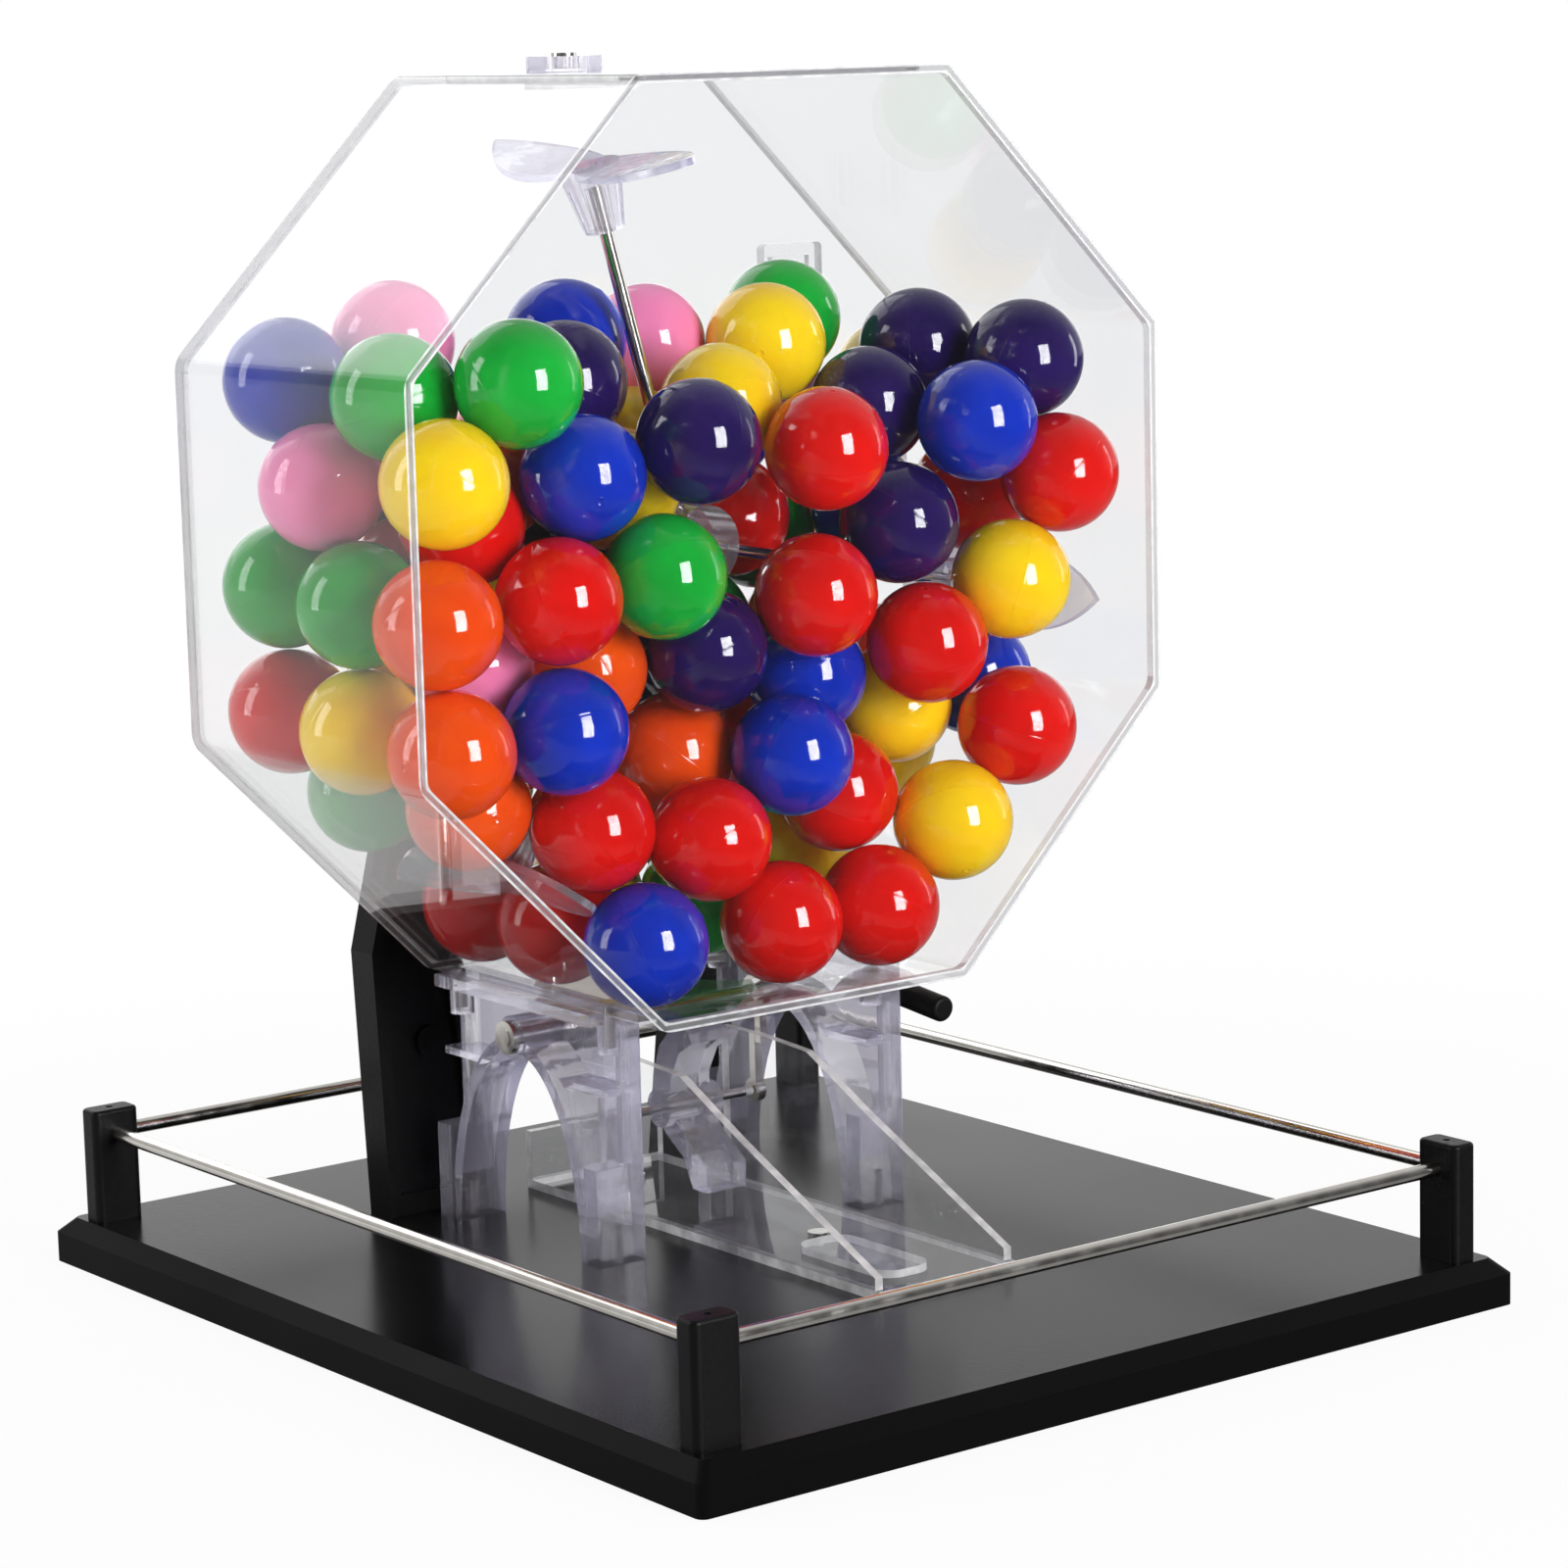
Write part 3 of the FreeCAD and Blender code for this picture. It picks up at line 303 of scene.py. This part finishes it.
STEEL = steel_material()
BLACK = black_plastic_material("black_plastic", 0.38, 700)
RUBBER = black_plastic_material("grip_rubber", 0.5, 1100)
BUSH = moulding_material("bush_plastic", (0.9, 0.9, 0.88), (0.6, 0.6, 0.57), (0.8, 0.8, 0.77), 0.3)
LILAC = moulding_material(
    "lilac_moulding", (0.95, 0.94, 0.985), (0.42, 0.39, 0.76), (0.88, 0.87, 0.99), 0.16
)
BAND = sheet_material("band_sheet", "Y", True, 0.015, wall=True)
PANEL = sheet_material("panel_sheet", "Y", False, 0.0015)
SIDE = sheet_material("side_sheet", "X", False, 0.02)
FLAT = sheet_material("flat_sheet", "Z", False, 0.04)
BOARD = board_material()

# Each ball colour, and the deeper shade of its patches.
BALL_COLOURS = {
    "blue": ((0.004, 0.032, 0.5), (0.003, 0.023, 0.4)),
    "pink": ((1.0, 0.3, 0.56), (1.0, 0.24, 0.5)),
    "green": ((0.007, 0.43, 0.042), (0.005, 0.34, 0.03)),
    "yellow": ((1.0, 0.7, 0.008), (0.96, 0.6, 0.006)),
    "purple": ((0.018, 0.005, 0.095), (0.013, 0.004, 0.07)),
    "red": ((0.74, 0.006, 0.003), (0.64, 0.004, 0.002)),
    "orange": ((0.86, 0.085, 0.003), (0.78, 0.06, 0.002)),
}

# The nodes that aren't steel, the posts and balls apart.
NODE_MATERIALS = {
    "base_board": BOARD,
    "tank_band": BAND,
    "tank_front": PANEL,
    "tank_back": PANEL,
    "back_bracket": PANEL,
    "lid": FLAT,
    "lid_rest": FLAT,
    "lid_knob": LILAC,
    "support_left": LILAC,
    "support_right": LILAC,
    "paddles": LILAC,
    "stirrer_boss": LILAC,
    "gate_lever": LILAC,
    "chute_base": FLAT,
    "chute_pad": FLAT,
    "chute_back": PANEL,
    "chute_side_left": SIDE,
    "chute_side_right": SIDE,
    "axle_bush": BUSH,
    "lever_grip": RUBBER,
    "crank_grip": BLACK,
    "stand_head": BLACK,
    "stand_leg_left": BLACK,
    "stand_leg_right": BLACK,
}


def material_of(name):
    if name.startswith("post_"):
        return BLACK
    return NODE_MATERIALS.get(name, STEEL)


def dress(node, material):
    mesh = nodes[node].data
    mesh.materials.clear()
    mesh.materials.append(material)
    for polygon in mesh.polygons:
        polygon.material_index = 0


for name in nodes:
    if not name.startswith("balls_"):
        dress(name, material_of(name))

# ---- balls --------------------------------------------------------------------------------------
BALL_R = 0.020
SEAM_HEIGHT = 0.00010
BALL_SEGMENTS = 36
# Degrees down from the pole with the moulding pip, as far as the seam.
PROFILE_STEPS = [0, 2.2, 3.4, 4.0, 4.6, 6, 9, 14, 20, 27, 34, 41, 48, 55, 62, 69, 76, 82, 86, 88.4, 89.3, 90]
SEAM_ANGLE, SEAM_HALF = 90, 0.5
PIP_EDGE, PIP_DEPTH = 2.5, 0.00025
RING_START, RING_END = 3.0, 4.3         # raised ring round the pip
MERGE_DISTANCE = 1e-5
TILTS, TURNS = (0.3, 2.8), (0, 6.28)    # radians by which the balls lie turned


def ball_centres(node):
    """Middles of the separate spheres of a CAD node."""
    mesh = bmesh.new()
    mesh.from_mesh(nodes[node].data)
    bmesh.ops.remove_doubles(mesh, verts=mesh.verts, dist=MERGE_DISTANCE)
    mesh.verts.ensure_lookup_table()
    seen, found = set(), []
    for start in mesh.verts:
        if start in seen:
            continue
        seen.add(start)
        group, queue = [], [start]
        while queue:
            vertex = queue.pop()
            group.append(vertex.co.copy())
            for edge in vertex.link_edges:
                other = edge.other_vert(vertex)
                if other not in seen:
                    seen.add(other)
                    queue.append(other)
        low = Vector([min(p[k] for p in group) for k in range(3)])
        high = Vector([max(p[k] for p in group) for k in range(3)])
        found.append((low + high) / 2)
    mesh.free()
    return sorted(found, key=lambda p: (round(p.z, 4), round(p.x, 4)))


def ball_profile():
    """Angles and radii down a ball's side: a moulding pip at one pole, a seam round the middle."""
    rows = []
    mirrored = [180 - a for a in PROFILE_STEPS[-2::-1]]
    for a in PROFILE_STEPS + mirrored:
        radius = BALL_R - SEAM_HEIGHT
        if abs(a - SEAM_ANGLE) < SEAM_HALF:
            radius += SEAM_HEIGHT
        if RING_START < a < RING_END:
            radius += SEAM_HEIGHT
        if a < PIP_EDGE:
            radius -= PIP_DEPTH
        rows.append((math.radians(a), radius))
    return rows


def add_ball(mesh, centre, turn):
    rows = []
    for angle, radius in ball_profile():
        if angle in (0, math.pi):
            rows.append([mesh.verts.new(centre + turn @ Vector((0, 0, radius * math.cos(angle))))])
            continue
        row = []
        for n in range(BALL_SEGMENTS):
            a = 2 * math.pi * n / BALL_SEGMENTS
            spot = Vector((math.sin(angle) * math.cos(a), math.sin(angle) * math.sin(a), math.cos(angle)))
            row.append(mesh.verts.new(centre + turn @ (spot * radius)))
        rows.append(row)
    for above, below in zip(rows, rows[1:]):
        for n in range(BALL_SEGMENTS):
            m = (n + 1) % BALL_SEGMENTS
            if len(above) == 1:
                mesh.faces.new((above[0], below[n], below[m]))
            elif len(below) == 1:
                mesh.faces.new((above[n], below[0], above[m]))
            else:
                mesh.faces.new((above[n], below[n], below[m], above[m]))


def make_piece(name, mesh, material, body):
    data = bpy.data.meshes.new(name)
    mesh.normal_update()
    mesh.to_mesh(data)
    mesh.free()
    piece = bpy.data.objects.new(name, data)
    scene.collection.objects.link(piece)
    data.materials.append(material)
    for polygon in data.polygons:
        polygon.use_smooth = True
    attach(piece, body)
    return piece


chance = random.Random(7)
ball_pieces = []
for colour, (light, deep) in BALL_COLOURS.items():
    mesh = bmesh.new()
    for centre in ball_centres("balls_" + colour):
        tilt = Matrix.Rotation(chance.uniform(*TILTS), 3, "X")
        turn = Matrix.Rotation(chance.uniform(*TURNS), 3, "Z") @ tilt
        add_ball(mesh, centre, turn)
    material = ball_material("ball_" + colour, light, deep)
    piece = make_piece("drum_balls_" + colour, mesh, material, "housing")
    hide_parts("balls_" + colour)
    ball_pieces.append(piece)


# ---- camera and lights --------------------------------------------------------------------------
def look_from(azimuth, elevation, roll):
    """Columns right, up and back of a camera that looks along an azimuth and elevation."""
    flat = math.cos(elevation)
    forward = Vector((-math.sin(azimuth) * flat, math.cos(azimuth) * flat, -math.sin(elevation)))
    right = forward.cross(Vector((0, 0, 1))).normalized()
    up = right.cross(forward)
    rolled_right = right * math.cos(roll) + up * math.sin(roll)
    rolled_up = up * math.cos(roll) - right * math.sin(roll)
    return Matrix((rolled_right, rolled_up, -forward)).transposed()


camera_turn = look_from(CAM_AZIMUTH, CAM_ELEVATION, CAM_ROLL)
camera = bpy.data.objects.new("camera", bpy.data.cameras.new("camera"))
camera.data.lens = CAM_LENS
camera.data.sensor_width = CAM_SENSOR
camera.data.clip_start = CAM_NEAR
camera.data.clip_end = CAM_FAR
camera.matrix_world = Matrix.Translation(CAM_PLACE) @ camera_turn.to_4x4()
scene.collection.objects.link(camera)
scene.camera = camera

TARGET = Vector((0, 0, 0.22))
KEY_WAY = (0.655, 0.1, 0.75)
# Soft boxes. way is a direction in camera terms (right, up, back). shows says whether a box lights matt
# colour, shows in mirrors, or both.
LIGHTS = {
    "key_box": dict(way=KEY_WAY, distance=1.6, size=(0.6, 0.95), power=25, shows="colour"),
    "key_glint": dict(way=KEY_WAY, distance=1.55, size=(0.54, 0.94), power=38, shows="mirrors"),
    "low_fill": dict(way=(-0.25, -0.2, 0.9), distance=1.7, size=(1.6, 1.2), power=6, shows="colour"),
    "rim_strip": dict(way=(0.9, 0.1, -0.44), distance=1.7, size=(0.25, 1.4), power=5, shows="both"),
    "top_box": dict(way=(-0.54, 0.62, -0.57), distance=1.7, size=(1.3, 1.2), power=6.5, shows="both"),
    "left_strip": dict(way=(-0.95, 0.25, 0.2), distance=1.8, size=(0.5, 1.4), power=13, shows="both"),
}


def area_light(name, way, distance, size, power, shows):
    direction = (camera_turn @ Vector(way)).normalized()
    data = bpy.data.lights.new(name, "AREA")
    data.shape = "RECTANGLE"
    data.size, data.size_y = size
    data.energy = power
    lamp = bpy.data.objects.new(name, data)
    lamp.location = TARGET + direction * distance
    lamp.rotation_mode = "QUATERNION"
    lamp.rotation_quaternion = direction.to_track_quat("Z", "Y")
    lamp.visible_diffuse = shows != "mirrors"
    lamp.visible_glossy = shows != "colour"
    scene.collection.objects.link(lamp)
    return lamp


lamps = {name: area_light(name, **values) for name, values in LIGHTS.items()}

# The glint shows in balls, steel and black plastic only. No clear piece, and not the board's flat top,
# turns white with it from any side.
glint_pieces = bpy.data.collections.new("glint_pieces")
for name, node in nodes.items():
    if material_of(name) in (STEEL, BLACK, RUBBER):
        glint_pieces.objects.link(node)
for piece in ball_pieces:
    glint_pieces.objects.link(piece)
lamps["key_glint"].light_linking.receiver_collection = glint_pieces

# ---- world and floor ----------------------------------------------------------------------------
BACKDROP_WAY = (0.55, 0.81, 0.2)
FRONT_LEVEL, BACK_LEVEL = 0.08, 0.65
FADE_START, FADE_END = -0.2, 0.75       # how far along the backdrop's way it is dim, and bright
HORIZON_GLOW = 0.9                      # further light low behind the object, for the board's top
GLOW_LOW, GLOW_HIGH = 0.2, 0.3          # heights between which the glow fades out
GLOW_START, GLOW_END = 0.75, 0.93       # how far along the backdrop's way it starts, and is full
FLOOR_BRIGHT_WAY = (-0.45, 0.89, 0)
FLOOR_DIM, FLOOR_BRIGHT = 0.07, 0.85    # the floor as mirrors see it
DIM_END, BRIGHT_END = -0.5, 0.6         # metres along its bright way where it is dim, and bright
FLOOR_MATT = rgb(0.8, 0.8, 0.8)
SHADOW_END, WHITE_START = 0.25, 0.6     # distances between which the floor fades to pure white
SHADOW_WHITE = 0.93                     # share of pure white within the shadow
FLOOR_HALF, FLOOR_DROP = 8, 0.0003


def studio_world():
    """White for the eye. For the light on the object: a white sweep behind it, dim towards the front."""
    scene.world = bpy.data.worlds.new("studio")
    g = Graph(scene.world, "ShaderNodeOutputWorld")
    sky = g.place("Generated")
    behind = g.along(sky, BACKDROP_WAY)
    sweep = g.ramp(behind, FADE_START, FADE_END, FRONT_LEVEL, BACK_LEVEL, "SMOOTHSTEP")
    low = g.ramp(g.part(sky, "Z"), GLOW_LOW, GLOW_HIGH, HORIZON_GLOW, 0.0, "SMOOTHSTEP")
    ahead = g.ramp(behind, GLOW_START, GLOW_END, shape="SMOOTHSTEP")
    plain = g.shader("Background", Color=WHITE, Strength=g.math("MULTIPLY_ADD", low, ahead, sweep))
    white = g.shader("Background", Color=WHITE, Strength=1.0)
    eye = g.seen_by_eye(g.add("ShaderNodeLightPath").outputs)
    g.done(g.mix_shader(eye, plain, white))


def floor_material():
    """White for the eye, fading to pure white away from the shadow. Mirrors see it dim at the front."""
    g = new_material("floor_white")
    paths = g.add("ShaderNodeLightPath").outputs
    place = g.place()
    far = g.add("ShaderNodeVectorMath", operation="LENGTH")
    g.link(place, far.inputs[0])
    away = g.ramp(far.outputs["Value"], SHADOW_END, WHITE_START, SHADOW_WHITE, 1.0)
    level = g.ramp(g.along(place, FLOOR_BRIGHT_WAY), DIM_END, BRIGHT_END, FLOOR_DIM, FLOOR_BRIGHT)
    matt = g.shader("BsdfDiffuse", Color=FLOOR_MATT)
    glow = g.shader("Emission", Color=WHITE)
    mirrored = g.shader("Emission", Strength=level)
    seen = g.mix_shader(g.math("MULTIPLY", g.seen_by_eye(paths), away), matt, glow)
    return g.done(g.mix_shader(paths["Is Glossy Ray"], seen, mirrored))


studio_world()
floor_mesh = bmesh.new()
bmesh.ops.create_grid(floor_mesh, x_segments=2, y_segments=2, size=FLOOR_HALF)
floor_data = bpy.data.meshes.new("floor")
floor_mesh.to_mesh(floor_data)
floor_mesh.free()
floor = bpy.data.objects.new("floor", floor_data)
floor.location = (0, 0, -FLOOR_DROP)
floor_data.materials.append(floor_material())
scene.collection.objects.link(floor)

scene.view_settings.view_transform = "Standard"
